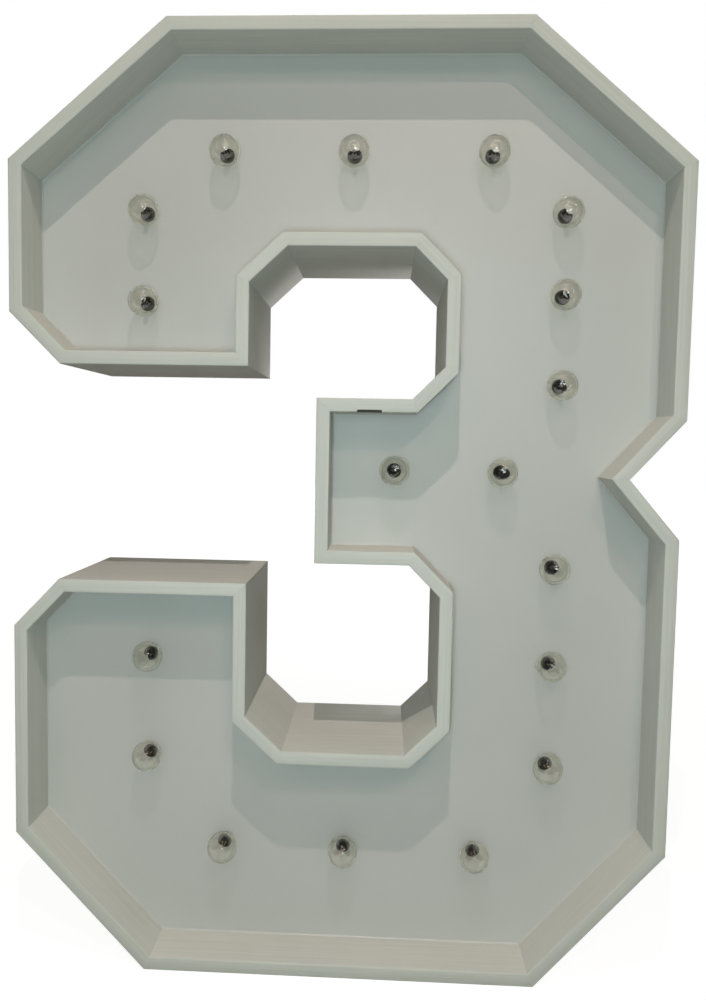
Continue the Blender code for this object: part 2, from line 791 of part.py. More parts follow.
def add_fuse_drawer(material, fuse_material):
    """The drawer under the connector recess, with a cartridge fuse lying across it."""
    drawer_z = inlet_height - drawer_drop
    width = drawer_bay_width - 2 * drawer_gap
    height = drawer_bay_height - 2 * drawer_gap
    lip_front = flange_back + seat_gap
    lip_back = lip_front + drawer_lip_thickness
    lip_width = drawer_bay_width + 2 * drawer_lip
    lip_height = drawer_bay_height + 2 * drawer_lip
    lip_mesh = block_mesh("fuse_drawer", inlet_x, drawer_z, lip_width, lip_height, lip_front, lip_back)
    drawer = make_object("fuse_drawer", lip_mesh, material)
    tray_levels = (flange_back - drawer_length, lip_front + drawer_lip_thickness / 2)
    tray = block_cutter("drawer_tray", inlet_x, drawer_z, width, height, *tray_levels)
    join_or_cut(drawer, tray, "UNION")

    trough_length = fuse_length + 2 * fuse_trough_gap
    trough_width = fuse_diameter + 2 * fuse_trough_gap
    trough_middle = flange_back - drawer_length / 2
    drawer_top = drawer_z + height / 2
    trough_z = drawer_top - fuse_trough_depth
    trough_levels = (trough_middle - trough_width / 2, trough_middle + trough_width / 2)
    trough_height = fuse_trough_depth + overrun
    trough_centre = trough_z + trough_height / 2
    trough = block_cutter("fuse_trough", inlet_x, trough_centre, trough_length, trough_height, *trough_levels)
    join_or_cut(drawer, trough, "DIFFERENCE")
    notch_z = drawer_z + lip_height / 2
    notch_size = (drawer_notch_width, 2 * drawer_notch_depth)
    notch_levels = (lip_front - overrun, lip_back + overrun)
    notch = block_cutter("drawer_notch", inlet_x, notch_z, *notch_size, *notch_levels)
    join_or_cut(drawer, notch, "DIFFERENCE")

    cap = fuse_diameter / 2
    glass = cap - fuse_cap_thickness
    half = fuse_length / 2
    glass_half = half - fuse_cap_length
    profile = [(0, -half), (cap, -half), (cap, -glass_half), (glass, -glass_half)]
    profile += [(radius, -along) for radius, along in reversed(profile)]
    mesh = turned_mesh("fuse", profile, fuse_sides, axis=(1, 0, 0))
    shade_round(mesh)
    fuse = make_object("fuse", mesh, fuse_material)
    fuse.location = (inlet_x, trough_middle, trough_z + fuse_trough_gap + cap)


def add_terminal_cover(material):
    """The box over the back of the inlet, where the two runs of cable enter."""
    flange_levels = (terminal_back - terminal_flange, terminal_back)
    mesh = block_mesh("terminal_cover", inlet_x, inlet_height, plate_width, plate_height, *flange_levels)
    cover = make_object("terminal_cover", mesh, material)
    box_levels = (terminal_front, terminal_back - terminal_flange / 2)
    box_size = (terminal_width, terminal_height)
    box = block_cutter("terminal_box", inlet_x, inlet_height, *box_size, *box_levels)
    join_or_cut(cover, box, "UNION")
    hollow_size = (terminal_width - 2 * terminal_wall, terminal_height - 2 * terminal_wall)
    hollow_levels = (terminal_front + terminal_wall, terminal_back + overrun)
    hollow = block_cutter("terminal_hollow", inlet_x, inlet_height, *hollow_size, *hollow_levels)
    join_or_cut(cover, hollow, "DIFFERENCE")
    fixing_levels = (flange_levels[0] - overrun, terminal_back + overrun)
    fixings = plate_screw_places()
    holes = round_cutter("terminal_holes", fixings, plate_screw_hole, screw_hole_sides, *fixing_levels)
    join_or_cut(cover, holes, "DIFFERENCE")
    cable_z = inlet_height + cable_hole_rise
    cable_places = [(inlet_x + side * cable_hole_spread, cable_z) for side in (-1, 1)]
    cable_levels = (terminal_front - overrun, terminal_front + terminal_wall + overrun)
    cable_hole = cable_diameter + 2 * cable_hole_gap
    entries = round_cutter("cable_holes", cable_places, cable_hole, lamp_sides, *cable_levels)
    join_or_cut(cover, entries, "DIFFERENCE")


def build_number():
    clear_scene()
    paint = make_material("cream_paint", (0.66, 0.66, 0.59), 0.55)
    panel_paint = make_material("panel_paint", (0.62, 0.63, 0.58), 0.50)
    cover_paint = make_material("cover_paint", (0.55, 0.55, 0.49), 0.60)
    glass = make_material("clear_glass", (0.95, 0.97, 0.96), 0.05, clear=1.0)
    black = make_material("black_moulding", (0.02, 0.02, 0.02), 0.45)
    steel = make_material("plate_steel", (0.62, 0.62, 0.60), 0.35, metallic=1.0)
    nickel = make_material("fuse_caps", (0.70, 0.69, 0.66), 0.30, metallic=1.0)

    boards = outline_boards()
    corners = [corner for name, corner in boards]
    places = lamp_places()
    board_items = add_boards(boards, paint)
    add_lamp_panel(corners, places, panel_paint)
    add_lamps(places, glass)
    first_run = [places[index - 1] for index in (15, 14, 13, 12, 11, 9, 10, 8, 7, 6, 5, 4, 3, 2, 1)]
    second_run = [places[index - 1] for index in (16, 17, 18)]
    add_harness("lamp_harness_upper", first_run, 1, black)
    add_harness("lamp_harness_lower", second_run, -1, black)
    add_rear_cover(boards, board_items, cover_paint)
    add_inlet_plate(steel)
    add_inlet(black)
    add_rocker(black)
    add_fuse_drawer(black, nickel)
    add_terminal_cover(black)


build_number()
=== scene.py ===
"""The finish of a light up marquee number: painted boards, a satin lamp panel and clear globe lamps.

Metres, +Z up. The number faces -Y and stands on the floor.
"""

import math

import bmesh
import bpy
from mathutils import Matrix, Vector


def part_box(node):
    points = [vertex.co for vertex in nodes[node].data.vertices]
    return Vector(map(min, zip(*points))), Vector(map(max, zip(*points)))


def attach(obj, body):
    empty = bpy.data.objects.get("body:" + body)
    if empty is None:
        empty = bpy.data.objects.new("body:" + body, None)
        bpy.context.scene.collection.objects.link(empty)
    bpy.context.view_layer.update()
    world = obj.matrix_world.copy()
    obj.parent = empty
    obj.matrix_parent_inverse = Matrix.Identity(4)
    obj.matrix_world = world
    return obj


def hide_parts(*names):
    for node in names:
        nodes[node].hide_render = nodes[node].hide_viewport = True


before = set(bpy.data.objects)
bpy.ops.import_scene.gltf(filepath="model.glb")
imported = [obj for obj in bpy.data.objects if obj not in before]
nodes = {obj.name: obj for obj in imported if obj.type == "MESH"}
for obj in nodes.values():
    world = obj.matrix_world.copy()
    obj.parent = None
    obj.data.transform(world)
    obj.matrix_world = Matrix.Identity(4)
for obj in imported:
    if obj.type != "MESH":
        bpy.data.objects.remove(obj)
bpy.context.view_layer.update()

# Places taken from the imported model
number_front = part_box("board_top")[0].y
panel_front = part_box("lamp_panel")[0].y
cover_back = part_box("rear_cover")[1].y
plate_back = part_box("inlet_plate")[1].y
inlet_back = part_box("inlet")[1].y
lamp_count = 18
lamp_names = [f"{number:02d}" for number in range(1, lamp_count + 1)]
board_names = sorted(name for name in nodes if name.startswith("board_"))

# How near two places are when they count as one
same_place = 0.0001
merge_gap = 0.00001
place_digits = 5

# Angles in radians, and shares of a direction from 0 for square to it up to 1 for along it
quarter_turn = math.radians(90)
sharp_angle = 0.6
along_board = 0.999
facing_end = 0.3
facing_back = 0.9

# Boards
board_rounding = 0.0014
board_rounding_steps = 3
mitre_filling = 0.00012
chip_place = (0.0337, number_front, 0.740)
chip_length = 0.0313
chip_height = 0.003
chip_depth = 0.014
chip_edge = 0.0003
chip_side_share = 0.52
chip_reach_share = 1.1
grain_shift = 0.37

# Filler where the boards meet the lamp panel
filler_width = 0.0016
filler_thickness = 0.0004
panel_probe_start = 0.1
panel_probe_side = 0.012

# Lamps, measured from the mouth of the socket, with the front at -y
globe_radius = 0.020
globe_middle = -0.022
glass_wall = 0.0016
inside_wall = globe_radius - glass_wall * 0.8
neck_radius = 0.0058
neck_depth = 0.010
neck_thinning_start = -0.0036
neck_thinning = 1.22
inner_neck_radius = neck_radius * 0.93
tip_radius = 0.0068
inner_tip_radius = 0.00544
tip_step = 0.0004
tip_flat = 0.0002
tip_build_up = 0.0002
stem_radius = 0.0013
cap_waist = neck_radius * 0.93
thread_start = 0.0052
thread_pitch = 0.0024
thread_turns = 4
lip_radius = 0.0106
lip_bore = 0.0061
lip_proud = 0.0004
socket_proud = 0.002
stick_radius = 0.0006
stick_start = -0.0056
stick_length = 0.0085
stick_rounding = 0.0004
stick_spread = 0.0021

# Profiles of the turned pieces of a lamp, as pairs of a radius and a place along its axis
neck_profile = ((neck_radius * 1.04, -0.0012), (neck_radius, 0.0005), (neck_radius, neck_depth))
stem_profile = (
    (0.0049, 0.0040),
    (0.0048, 0.0005),
    (0.0036, -0.0018),
    (stem_radius * 1.3, -0.0040),
    (stem_radius, -0.0060),
    (stem_radius, -0.0125),
    (stem_radius * 1.35, -0.0138),
    (stem_radius * 0.8, -0.0152),
)
contact_profile = ((neck_radius * 0.9, 0.0152), (0.0022, 0.0180), (0.0022, 0.0187), (0.0010, 0.0188))
lip_profile = (
    (lip_radius, socket_proud),
    (lip_radius, 0.0002),
    (lip_radius - 0.0006, -lip_proud),
    (lip_bore + 0.0010, -lip_proud),
    (lip_bore + 0.0002, lip_proud),
    (lip_bore, 0.0014),
    (lip_bore, 0.0030),
)
stick_profile = (
    (stick_radius * 0.5, stick_start + stick_rounding),
    (stick_radius, stick_start),
    (stick_radius, stick_start - stick_length),
    (stick_radius * 0.5, stick_start - stick_length - stick_rounding),
)

# Fuse, its tube and wire as shares of its radius and length
fuse_tube_shares = ((0.90, 0.47), (0.92, 0.45))
fuse_wire_share = 0.48
fuse_wire_radius = 0.0002
fuse_cap_length = 0.0052
fuse_cap_lip = 0.0003
fuse_cap_rounding = 0.0006

# Screws, with the dome of the head as shares of its radius and height
screw_head_radius = 0.0034
screw_head_height = 0.0017
screw_seat_depth = 0.0004
screw_edge = 0.0003
screw_dome_shares = ((0.97, 0.5), (0.84, 0.82), (0.55, 0.97), (0.25, 1.0))
cross_length = 0.0038
cross_width = 0.0009
cross_depth = 0.0011
screw_turn = 37
hole_reach = 0.0037
hole_points = 8

# Inlet
plate_corner = 0.004
plate_edge = 0.0003
moulding_edge = 0.0006
small_edge = 0.0004
recess_floor = 0.0756
pin_foot = 0.0014
pin_below_face = 0.002
pin_root = 0.0005
mark_height = 0.0044
mark_width = 0.0006
mark_thickness = 0.00012
mark_off_centre = 0.0056
mark_probe_start = 0.2

# Finishes: how many marks a pattern has in a metre along each axis, and how deep its relief is
streak_scale = (5, 330, 330)
stroke_scale = (22, 900, 900)
fibre_scale = (380, 380, 120)
brushed_scale = (40, 900, 1600)
cast_scale = (1400, 1400, 1400)
streak_depth = 0.0004
stroke_depth = 0.0002
roller_depth = 0.0001
fibre_depth = 0.0003
ripple_depth = 0.0004
spark_depth = 0.00008
metal_depth = 0.00005
paint_gloss = 0.05

# Room
floor_size = 24
floor_level = -0.0002
floor_fade = 3.5
wall_radius = 6
wall_middle = 0.6
wall_edge = -0.6
wall_foot = 0.002
wall_foot_reach = 0.01
wall_glow = 0.05
room_light = 0.08
ceiling_lamp_size = (0.016, 0.016)

# Camera, turned in degrees
camera_place = (0.0489, -1.1086, 0.7021)
camera_turn = (86.299, -1.021, 2.514)
camera_lens = 40.933
camera_shift = (0.0103, -0.0085)
sensor_width = 36


# Tools


def deselect():
    bpy.ops.object.select_all(action="DESELECT")


def pick(piece):
    """Selects one piece alone and makes it the one that the next tool works on."""
    deselect()
    piece.select_set(True)
    bpy.context.view_layer.objects.active = piece


def open_piece(piece):
    """Opens one piece in edit mode, with nothing in it selected."""
    pick(piece)
    bpy.ops.object.mode_set(mode="EDIT")
    bpy.ops.mesh.select_all(action="DESELECT")


def close_piece():
    bpy.ops.object.mode_set(mode="OBJECT")


def choose(piece, kind, test):
    """Selects the verts, edges or faces of an open piece that pass a test."""
    modes = {"verts": "VERT", "edges": "EDGE", "faces": "FACE"}
    bpy.ops.mesh.select_mode(type=modes[kind])
    bpy.ops.mesh.select_all(action="DESELECT")
    shape = bmesh.from_edit_mesh(piece.data)
    for item in getattr(shape, kind):
        if test(item):
            item.select_set(True)
    shape.select_flush_mode()
    bmesh.update_edit_mesh(piece.data)


def open_edge(edge):
    return edge.is_boundary


def any_edge(edge):
    return True


def from_axis(place):
    """How far a place is from the axis of a turned piece."""
    return math.hypot(place.x, place.z)


def front_place(place):
    """A place as it is seen from the front, rounded so that equal places compare as equal."""
    return round(place.x, place_digits), round(place.z, place_digits)


def soften(piece, test, width, steps, clamp=False):
    """Rounds over the edges of an open piece that pass a test."""
    choose(piece, "edges", test)
    bpy.ops.mesh.bevel(offset=width, segments=steps, affect="EDGES", clamp_overlap=clamp)


def face_outwards():
    """Turns every face of the open piece outwards."""
    bpy.ops.mesh.select_all(action="SELECT")
    bpy.ops.mesh.normals_make_consistent(inside=False)


def settle(piece):
    """Puts the place, turn and scale of a piece into its mesh."""
    pick(piece)
    bpy.ops.object.transform_apply(location=True, rotation=True, scale=True)


def new_piece(name):
    """The primitive just added, under its own name and with its place in its mesh."""
    piece = bpy.context.object
    piece.name = name
    piece.data.name = name
    settle(piece)
    return piece


def draw_out(rings, radius, place):
    """Extrudes the selected ring of edges, which has this radius and place, through further rings."""
    for next_radius, next_place in rings:
        bpy.ops.mesh.extrude_edges_move(TRANSFORM_OT_translate={"value": (0, next_place - place, 0)})
        share = next_radius / radius
        bpy.ops.transform.resize(value=(share, 1, share), center_override=(0, next_place, 0))
        radius, place = next_radius, next_place


def turned_piece(name, rings, sides, closed=True):
    """A round piece about the y axis, drawn out ring by ring from its first radius and place."""
    deselect()
    radius, place = rings[0]
    bpy.ops.mesh.primitive_circle_add(
        vertices=sides,
        radius=radius,
        fill_type="NGON" if closed else "NOTHING",
        location=(0, place, 0),
        rotation=(quarter_turn, 0, 0),
    )
    piece = new_piece(name)
    open_piece(piece)
    bpy.ops.mesh.select_mode(type="EDGE")
    bpy.ops.mesh.select_all(action="SELECT")
    draw_out(rings[1:], radius, place)
    if closed:
        bpy.ops.mesh.edge_face_add()
    face_outwards()
    close_piece()
    return piece


def turned_ring(name, rings, sides):
    """A turned piece with a hole through it, whose first and last rings are joined."""
    piece = turned_piece(name, rings, sides, closed=False)
    open_piece(piece)
    choose(piece, "edges", open_edge)
    bpy.ops.mesh.bridge_edge_loops()
    face_outwards()
    close_piece()
    return piece


def smooth(piece, degrees):
    pick(piece)
    bpy.ops.object.shade_smooth_by_angle(angle=math.radians(degrees))


def copy_piece(piece, name, offset):
    """A copy with its own mesh, moved by an offset."""
    pick(piece)
    bpy.ops.object.duplicate()
    twin = bpy.context.object
    twin.name = name
    twin.data.name = name
    twin.location = offset
    settle(twin)
    return twin


def remove_piece(piece):
    bpy.data.meshes.remove(piece.data)


def cut_away(piece, tool):
    """Takes the shape of a tool out of a piece, and then removes the tool."""
    cut = piece.modifiers.new("cut", "BOOLEAN")
    cut.operation = "DIFFERENCE"
    cut.object = tool
    pick(piece)
    bpy.ops.object.modifier_apply(modifier="cut")
    remove_piece(tool)


def thicken(piece, thickness, offset):
    """Gives a sheet its thickness, inwards where the offset is -1 and to both sides where it is 0."""
    wall = piece.modifiers.new("wall", "SOLIDIFY")
    wall.thickness = thickness
    wall.offset = offset
    pick(piece)
    bpy.ops.object.modifier_apply(modifier="wall")


def copy_of_node(node, name):
    """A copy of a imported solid, merged and with its flat faces made whole."""
    deselect()
    copy = nodes[node].copy()
    copy.data = nodes[node].data.copy()
    copy.parent = None
    for key in list(copy.keys()):
        del copy[key]
    copy.name = name
    copy.data.name = name
    bpy.context.scene.collection.objects.link(copy)
    open_piece(copy)
    bpy.ops.mesh.select_all(action="SELECT")
    bpy.ops.mesh.remove_doubles(threshold=merge_gap)
    bpy.ops.mesh.dissolve_limited(angle_limit=math.radians(1))
    bpy.ops.mesh.customdata_custom_splitnormals_clear()
    close_piece()
    return copy


def paint(piece, material):
    piece.data.materials.clear()
    piece.data.materials.append(material)


def set_piece(piece, material, body="number"):
    """Gives a finished piece its material and the body it moves with."""
    paint(piece, material)
    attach(piece, body)


# Materials


class Finish:
    """A material whose nodes are added one by one, from the pattern's place to the shader."""

    def __init__(self, name, colour, roughness, metallic=0.0):
        self.material = bpy.data.materials.new(name)
        self.material.use_nodes = True
        self.material.diffuse_color = (*colour, 1.0)
        self.tree = self.material.node_tree
        self.shader = self.tree.nodes["Principled BSDF"]
        self.surface("Base Color", (*colour, 1.0))
        self.surface("Roughness", roughness)
        self.surface("Metallic", metallic)

    def set(self, node, socket, value):
        """Sets a socket to a value, or links it where the value is another node's output."""
        if isinstance(value, bpy.types.NodeSocket):
            self.tree.links.new(value, node.inputs[socket])
        else:
            node.inputs[socket].default_value = value

    def surface(self, socket, value):
        """Sets a socket of the shader itself."""
        self.set(self.shader, socket, value)

    def node(self, kind):
        return self.tree.nodes.new(kind)

    def add(self, kind, **values):
        """A new node with the sockets that are named set."""
        node = self.node(kind)
        for socket, value in values.items():
            self.set(node, socket.title(), value)
        return node

    def place(self, attribute=None):
        """Where on the piece a point lies: on the object, or as an attribute of the piece says."""
        if attribute is None:
            return self.node("ShaderNodeTexCoord").outputs["Object"]
        reader = self.node("ShaderNodeAttribute")
        reader.attribute_name = attribute
        return reader.outputs["Vector"]

    def stretch(self, place, scale):
        return self.add("ShaderNodeMapping", vector=place, scale=scale).outputs["Vector"]

    def noise(self, place, scale, detail=3.0, roughness=0.55):
        node = self.add("ShaderNodeTexNoise", vector=place, scale=scale, detail=detail, roughness=roughness)
        return node.outputs["Fac"]

    def spots(self, place, scale):
        return self.add("ShaderNodeTexVoronoi", vector=place, scale=scale).outputs["Distance"]

    def ramp(self, value, *stops):
        """Turns a value into a colour, or a grey where the stops are plain numbers."""
        node = self.add("ShaderNodeValToRGB", fac=value)
        elements = node.color_ramp.elements
        while len(elements) < len(stops):
            elements.new(0.5)
        for element, (position, colour) in zip(elements, stops):
            element.position = position
            element.color = (*colour, 1.0) if isinstance(colour, tuple) else (colour, colour, colour, 1.0)
        return node.outputs["Color"]

    def mix(self, share, first, second, blend="MIX"):
        """Mixes two colours by a share, through the colour sockets of a Mix node."""
        node = self.node("ShaderNodeMix")
        node.data_type = "RGBA"
        node.blend_type = blend
        self.set(node, 0, share)
        for socket, value in ((6, first), (7, second)):
            self.set(node, socket, (*value, 1.0) if isinstance(value, tuple) else value)
        return node.outputs[2]

    def times(self, first, second):
        return self.mix(1.0, first, second, "MULTIPLY")

    def calculate(self, first, second, operation):
        node = self.node("ShaderNodeMath")
        node.operation = operation
        self.set(node, 0, first)
        self.set(node, 1, second)
        return node.outputs["Value"]

    def relief(self, height, depth, strength, below=None):
        """A bump of a given depth in metres, on top of another bump where there is one."""
        node = self.add("ShaderNodeBump", strength=strength, distance=depth, height=height)
        if below is not None:
            self.set(node, "Normal", below)
        return node.outputs["Normal"]


def board_paint():
    """Cream paint on sawn boards, with the grain showing through along each board."""
    shaded, cream, bright = (0.582, 0.590, 0.533), (0.622, 0.630, 0.572), (0.656, 0.664, 0.606)
    dull, fresh, chip_shade_colour = (0.52, 0.525, 0.475), (0.70, 0.705, 0.64), (0.10, 0.10, 0.09)
    finish = Finish("board_paint", cream, 0.6)
    grain = finish.place("grain")
    streaks = finish.noise(finish.stretch(grain, streak_scale), 1.0, 4.0, 0.6)
    strokes = finish.noise(finish.stretch(grain, stroke_scale), 1.0, 2.0, 0.5)
    clouds = finish.noise(grain, 9.0)
    base = finish.ramp(streaks, (0.30, shaded), (0.50, cream), (0.72, bright))
    base = finish.mix(0.10, base, finish.ramp(clouds, (0.3, dull), (0.7, fresh)))
    specks = finish.ramp(finish.spots(grain, 6.0), (0.0, 0.45), (0.005, 0.6), (0.008, 1.0))
    painted = finish.times(base, specks)
    # The faces of the chip are painted near black, as painted shade in its small recess
    finish.surface("Base Color", finish.mix(finish.place("chip_shade_mask"), painted, chip_shade_colour))
    finish.surface("Specular IOR Level", paint_gloss)
    finish.surface("Roughness", finish.ramp(clouds, (0.25, 0.56), (0.75, 0.70)))
    coarse = finish.relief(streaks, streak_depth, 0.35)
    finish.surface("Normal", finish.relief(strokes, stroke_depth, 0.3, coarse))
    return finish.material


def panel_paint():
    """The same paint rolled on a flat sheet, smoother and with a satin face."""
    shaded, cream, bright = (0.535, 0.537, 0.505), (0.55, 0.552, 0.52), (0.565, 0.567, 0.535)
    finish = Finish("panel_paint", cream, 0.38)
    place = finish.place()
    clouds = finish.noise(place, 5.0, 4.0)
    roller = finish.noise(place, 650.0, 2.0)
    base = finish.ramp(clouds, (0.3, shaded), (0.7, bright))
    specks = finish.ramp(finish.spots(place, 7.0), (0.0, 0.70), (0.005, 0.8), (0.008, 1.0))
    finish.surface("Base Color", finish.times(base, specks))
    finish.surface("Roughness", finish.ramp(clouds, (0.25, 0.34), (0.75, 0.42)))
    finish.surface("Normal", finish.relief(roller, roller_depth, 0.25))
    return finish.material


def cover_paint():
    """A thin coat of the cream paint on a pressed board."""
    shaded, cream, bright = (0.465, 0.455, 0.385), (0.50, 0.49, 0.42), (0.53, 0.52, 0.45)
    dull, fresh = (0.42, 0.41, 0.35), (0.56, 0.55, 0.48)
    finish = Finish("cover_paint", cream, 0.62)
    place = finish.place()
    fibres = finish.noise(finish.stretch(place, fibre_scale), 1.0, 4.0, 0.6)
    clouds = finish.noise(place, 6.0, 4.0)
    base = finish.ramp(fibres, (0.3, shaded), (0.7, bright))
    finish.surface("Base Color", finish.mix(0.2, base, finish.ramp(clouds, (0.3, dull), (0.7, fresh))))
    finish.surface("Normal", finish.relief(fibres, fibre_depth, 0.4))
    return finish.material


def glass_shadow(finish, facing):
    """The light that glass lets through: less at its rim, with a darker ring round the drop at its tip."""
    wall = finish.ramp(facing, (0.0, 0.925), (0.5, 0.915), (0.72, 0.80), (1.0, 0.50))
    ring = ((0.0, 1.0), (0.14, 1.0), (0.24, 0.78), (0.36, 0.78), (0.44, 0.92), (0.55, 0.86))
    drop = finish.ramp(finish.place("from_tip"), *ring)
    passing = finish.node("ShaderNodeBsdfTransparent")
    finish.set(passing, "Color", finish.times(finish.times(wall, drop), (1.16, 1.16, 1.14)))
    return passing.outputs["BSDF"]


def clear_glass():
    """Clear glass, faintly olive where it is seen through its whole wall and darker at its rim with painted
    shade, with a soft shadow.
    """
    clear, olive, rim = (0.985, 0.985, 0.965), (0.90, 0.90, 0.83), (0.80, 0.80, 0.70)
    finish = Finish("clear_glass", (0.95, 0.95, 0.92), 0.0)
    finish.surface("Transmission Weight", 1.0)
    finish.surface("IOR", 1.47)
    finish.surface("Coat Weight", 0.4)
    finish.surface("Coat Roughness", 0.12)
    ripples = finish.noise(finish.place(), 55.0, 2.0)
    finish.surface("Normal", finish.relief(ripples, ripple_depth, 0.25))
    facing = finish.add("ShaderNodeLayerWeight", blend=0.35).outputs["Facing"]
    # The olive is the glass's own tint; the darker rim stop is painted shade standing in for dark
    # reflections round each globe's edge
    finish.surface("Base Color", finish.ramp(facing, (0.28, clear), (0.45, olive), (0.85, rim)))
    passing = glass_shadow(finish, facing)
    path = finish.node("ShaderNodeLightPath")
    unseen = finish.calculate(path.outputs["Is Shadow Ray"], path.outputs["Is Diffuse Ray"], "MAXIMUM")
    join = finish.node("ShaderNodeMixShader")
    for socket, value in enumerate((unseen, finish.shader.outputs["BSDF"], passing)):
        finish.set(join, socket, value)
    depth = finish.add("ShaderNodeVolumeAbsorption", color=(0.50, 0.49, 0.24, 1.0), density=38.0)
    output = finish.tree.nodes["Material Output"]
    finish.set(output, "Surface", join.outputs["Shader"])
    finish.set(output, "Volume", depth.outputs["Volume"])
    return finish.material


def moulding(name, colour, roughness, gloss):
    """A moulded or coated surface with a fine spark texture."""
    finish = Finish(name, colour, roughness)
    finish.surface("Specular IOR Level", gloss)
    place = finish.place()
    texture = finish.noise(place, 1800.0, 2.0)
    clouds = finish.noise(place, 40.0)
    low = tuple(0.8 * value for value in colour)
    high = tuple(1.3 * value for value in colour)
    finish.surface("Base Color", finish.ramp(clouds, (0.3, low), (0.7, high)))
    finish.surface("Roughness", finish.ramp(clouds, (0.3, roughness - 0.06), (0.7, roughness + 0.06)))
    finish.surface("Normal", finish.relief(texture, spark_depth, 0.5))
    return finish.material


def metal(name, colour, roughness, scale=cast_scale):
    """Metal with a fine even grain, or with fine lines where its scale is that of brushing."""
    finish = Finish(name, colour, roughness, 1.0)
    place = finish.place()
    lines = finish.noise(finish.stretch(place, scale), 1.0)
    clouds = finish.noise(place, 90.0)
    low = tuple(0.85 * value for value in colour)
    high = tuple(min(1.0, 1.12 * value) for value in colour)
    finish.surface("Base Color", finish.ramp(clouds, (0.3, low), (0.7, high)))
    finish.surface("Roughness", finish.ramp(lines, (0.3, roughness - 0.08), (0.7, roughness + 0.08)))
    finish.surface("Normal", finish.relief(lines, metal_depth, 0.5))
    return finish.material


# Boards


def front_points(board):
    return [vertex.co for vertex in board.data.vertices if abs(vertex.co.y - number_front) < same_place]


def board_direction(board):
    """The way a board runs, from the longest edge of its front that has the whole front on one side."""
    front = front_points(board)
    best = Vector((0, 0, 0))
    for edge in board.data.edges:
        start, end = (board.data.vertices[index].co for index in edge.vertices)
        on_front = max(abs(start.y - number_front), abs(end.y - number_front)) < same_place
        if on_front and (end - start).length > best.length:
            across = Vector((start.z - end.z, 0, end.x - start.x)).normalized()
            sides = [(point - start).dot(across) for point in front]
            if min(sides) > -same_place or max(sides) < same_place:
                best = end - start
    return best.normalized()


def chip_board(board):
    """Knocks a small chip out of the inner front edge of a board, and marks its faces for the painted shade
    in it.
    """
    deselect()
    size = (chip_length, 2 * chip_depth, 2 * chip_height)
    bpy.ops.mesh.primitive_cube_add(size=1, location=chip_place, scale=size)
    bite = new_piece("bite")
    open_piece(bite)
    soften(bite, any_edge, chip_height / 3, 2)
    close_piece()
    cut_away(board, bite)
    # Marks the faces of the chip, which the board paint paints near black as painted shade
    chip_shade_mask = board.data.attributes.new("chip_shade_mask", "FLOAT", "FACE")
    for face, value in zip(board.data.polygons, chip_shade_mask.data):
        away = face.center - Vector(chip_place)
        beside = abs(away.x) < chip_length * chip_side_share
        above = chip_edge < away.z < chip_height * chip_reach_share
        behind = chip_edge < away.y < chip_depth * chip_reach_share
        value.value = 1.0 if beside and above and behind else 0.0


def lay_grain(board, direction, number):
    """Keeps on each point where it lies along, across and into its board, shifted from board to board."""
    across = Vector((-direction.z, 0, direction.x))
    sides = [vertex.co.dot(across) for vertex in board.data.vertices]
    middle = (min(sides) + max(sides)) / 2
    grain = board.data.attributes.new("grain", "FLOAT_VECTOR", "POINT")
    for vertex, side, value in zip(board.data.vertices, sides, grain.data):
        along = vertex.co.dot(direction) + number * grain_shift
        value.vector = (along, side - middle, vertex.co.y)


def add_board(name, number, material):
    """A painted board with its long edges rounded over and its grain laid along it."""
    board = copy_of_node(name, name.replace("board_", "painted_board_"))
    direction = board_direction(board)
    back = max(vertex.co.y for vertex in board.data.vertices)

    def long_edge(edge):
        start, end = (vertex.co for vertex in edge.verts)
        along = (end - start).normalized()
        at_front = abs(start.y - number_front) < same_place
        at_back = abs(start.y - back) < same_place
        return abs(along.dot(direction)) > along_board and (at_front or at_back)

    open_piece(board)
    soften(board, long_edge, board_rounding, board_rounding_steps)
    for end in (direction, -direction):
        choose(board, "faces", lambda face: face.normal.dot(end) > facing_end)
        bpy.ops.transform.translate(value=end * mitre_filling)
    close_piece()
    if name == "board_middle_arm_top":
        chip_board(board)
    smooth(board, 35)
    lay_grain(board, direction, number)
    set_piece(board, material)
    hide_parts(name)


# Lamps


def in_tip(place, radius):
    return place.y < globe_middle and from_axis(place) < radius


def draw_neck(globe):
    """Opens the back of the open globe and draws its neck out of the opening."""
    choose(globe, "verts", lambda vert: vert.co.y > globe_middle and from_axis(vert.co) < neck_radius)
    bpy.ops.mesh.delete(type="VERT")
    choose(globe, "edges", open_edge)
    shape = bmesh.from_edit_mesh(globe.data)
    rim = next(edge for edge in shape.edges if edge.is_boundary).verts[0].co.copy()
    draw_out(neck_profile, from_axis(rim), rim.y)


